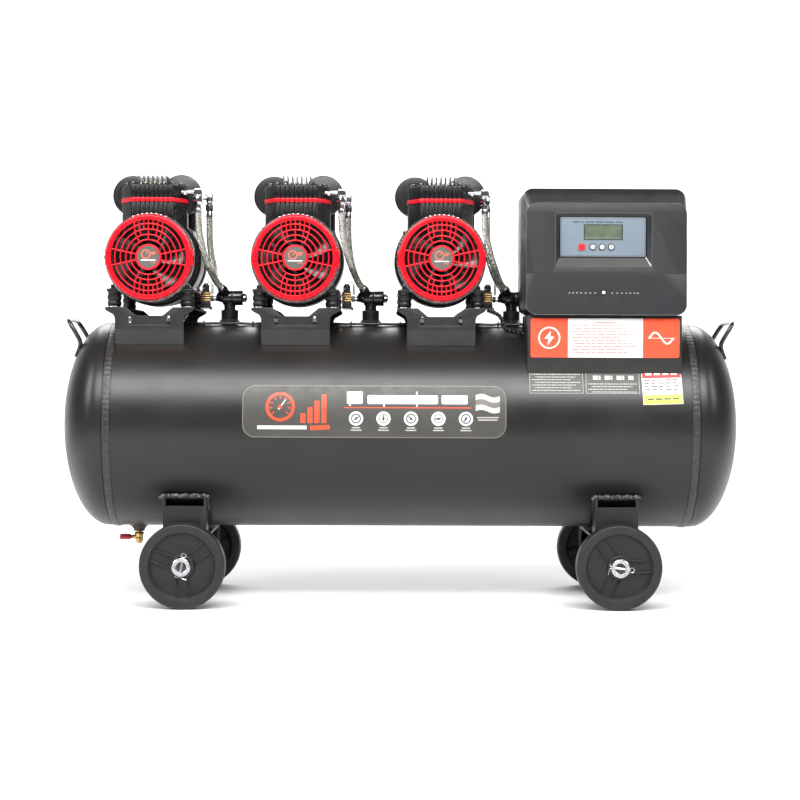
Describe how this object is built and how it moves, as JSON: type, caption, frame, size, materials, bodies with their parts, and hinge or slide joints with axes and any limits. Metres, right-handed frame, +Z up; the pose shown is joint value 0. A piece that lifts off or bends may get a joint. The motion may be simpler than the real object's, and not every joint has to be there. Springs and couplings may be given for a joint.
{
  "type": "air compressor",
  "caption": "Oil-free workshop air compressor: twin-cylinder pumps with fan guards on a horizontal wheeled tank, with a digital control box.",
  "frame": {"origin": "on the ground under the middle of the tank", "axes": "+X along the tank to the end with the control box, -Y to the front with the control panel, +Z up"},
  "size_m": [1.155, 0.398, 0.7283],
  "materials": {
    "tank_paint": "satin charcoal paint on steel",
    "bracket_paint": "satin dark grey paint on bent steel",
    "zinc": "bright zinc plate",
    "tyre": "matt black tyre on a black plastic web",
    "feet": "black painted foot frame on black rubber mounts",
    "pump_casting": "satin black paint on cast aluminium, bare steel stator",
    "head_casting": "satin black finned casting with a red gasket and black filter",
    "rotor": "steel shaft and core with black plastic fans",
    "guard_red": "bright red moulded plastic",
    "braided_hose": "stainless steel braid",
    "valve_black": "black coated brass fittings",
    "brass": "bare brass",
    "lever_red": "dark red sleeve",
    "stand_plastic": null,
    "shell_plastic": "black textured ABS",
    "cover_plastic": "anthracite textured ABS",
    "panel": "blue-grey membrane with a grey-green display",
    "button_red": "red button cap",
    "button_dark": "dark button cap with a pale ring",
    "board": "green circuit board",
    "wire": "black cable sleeve"
  },
  "bodies": {
    "frame": {"tank": "tank_paint", "handle_left": "bracket_paint", "axle_bracket_left": "bracket_paint", "axle_left": "zinc", "handle_right": "bracket_paint", "axle_bracket_right": "bracket_paint", "axle_right": "zinc", "pump_1_saddle": "bracket_paint", "pump_1_feet": "feet", "pump_1_body": "pump_casting", "pump_1_head_front": "head_casting", "pump_1_head_back": "head_casting", "pump_1_guard_front": "guard_red", "pump_1_guard_back": "guard_red", "pump_1_hose_front": "braided_hose", "pump_1_hose_back": "braided_hose", "pump_1_check_valve": "valve_black", "pump_2_saddle": "bracket_paint", "pump_2_feet": "feet", "pump_2_body": "pump_casting", "pump_2_head_front": "head_casting", "pump_2_head_back": "head_casting", "pump_2_guard_front": "guard_red", "pump_2_guard_back": "guard_red", "pump_2_hose_front": "braided_hose", "pump_2_hose_back": "braided_hose", "pump_2_check_valve": "valve_black", "pump_3_saddle": "bracket_paint", "pump_3_feet": "feet", "pump_3_body": "pump_casting", "pump_3_head_front": "head_casting", "pump_3_head_back": "head_casting", "pump_3_guard_front": "guard_red", "pump_3_guard_back": "guard_red", "pump_3_hose_front": "braided_hose", "pump_3_hose_back": "braided_hose", "pump_3_check_valve": "valve_black", "drain_valve": "brass", "outlet_valve": "brass", "safety_valve": "brass", "control_stand": "stand_plastic", "control_box_shell": "shell_plastic", "control_box_cover": "cover_plastic", "control_panel": "panel", "circuit_board": "board", "motor_leads": "wire"},
    "wheel_front_left": {"wheel_front_left": "tyre"},
    "wheel_back_left": {"wheel_back_left": "tyre"},
    "wheel_front_right": {"wheel_front_right": "tyre"},
    "wheel_back_right": {"wheel_back_right": "tyre"},
    "rotor_1": {"pump_1_rotor": "rotor"},
    "rotor_2": {"pump_2_rotor": "rotor"},
    "rotor_3": {"pump_3_rotor": "rotor"},
    "drain_lever": {"drain_lever": "lever_red"},
    "outlet_lever": {"outlet_lever": "lever_red"},
    "safety_pull": {"safety_pull": "zinc"},
    "power_button": {"power_button": "button_red"},
    "set_button_1": {"set_button_1": "button_dark"},
    "set_button_2": {"set_button_2": "button_dark"},
    "set_button_3": {"set_button_3": "button_dark"}
  },
  "joints": [
    {"name": "wheel_front_left_spin", "type": "hinge", "parent": "frame", "child": "wheel_front_left", "pos_m": [-0.3596, -0.171, 0.0708], "axis": [0, 1, 0], "continuous": true},
    {"name": "wheel_back_left_spin", "type": "hinge", "parent": "frame", "child": "wheel_back_left", "pos_m": [-0.3596, 0.171, 0.0708], "axis": [0, 1, 0], "continuous": true},
    {"name": "wheel_front_right_spin", "type": "hinge", "parent": "frame", "child": "wheel_front_right", "pos_m": [0.3596, -0.171, 0.0708], "axis": [0, 1, 0], "continuous": true},
    {"name": "wheel_back_right_spin", "type": "hinge", "parent": "frame", "child": "wheel_back_right", "pos_m": [0.3596, 0.171, 0.0708], "axis": [0, 1, 0], "continuous": true},
    {"name": "rotor_1_spin", "type": "hinge", "parent": "frame", "child": "rotor_1", "pos_m": [-0.4215, 0, 0.5805], "axis": [0, 1, 0], "continuous": true},
    {"name": "rotor_2_spin", "type": "hinge", "parent": "frame", "child": "rotor_2", "pos_m": [-0.1775, 0, 0.5805], "axis": [0, 1, 0], "continuous": true},
    {"name": "rotor_3_spin", "type": "hinge", "parent": "frame", "child": "rotor_3", "pos_m": [0.0665, 0, 0.5805], "axis": [0, 1, 0], "continuous": true},
    {"name": "drain_lever_turn", "type": "hinge", "parent": "frame", "child": "drain_lever", "pos_m": [-0.4638, 0, 0.103], "axis": [-1, 0, 0], "range_deg": [0, 90]},
    {"name": "outlet_lever_turn", "type": "hinge", "parent": "frame", "child": "outlet_lever", "pos_m": [0.335, 0.1793, 0.4093], "axis": [0, 0, 1], "range_deg": [0, 90]},
    {"name": "safety_pull_lift", "type": "slide", "parent": "frame", "child": "safety_pull", "axis": [0, 0, 1], "range_m": [0, 0.003], "stiffness_N_per_m": 1500},
    {"name": "power_button_press", "type": "slide", "parent": "frame", "child": "power_button", "axis": [0, 1, 0], "range_m": [0, 0.001], "stiffness_N_per_m": 800},
    {"name": "set_button_1_press", "type": "slide", "parent": "frame", "child": "set_button_1", "axis": [0, 1, 0], "range_m": [0, 0.001], "stiffness_N_per_m": 800},
    {"name": "set_button_2_press", "type": "slide", "parent": "frame", "child": "set_button_2", "axis": [0, 1, 0], "range_m": [0, 0.001], "stiffness_N_per_m": 800},
    {"name": "set_button_3_press", "type": "slide", "parent": "frame", "child": "set_button_3", "axis": [0, 1, 0], "range_m": [0, 0.001], "stiffness_N_per_m": 800}
  ]
}
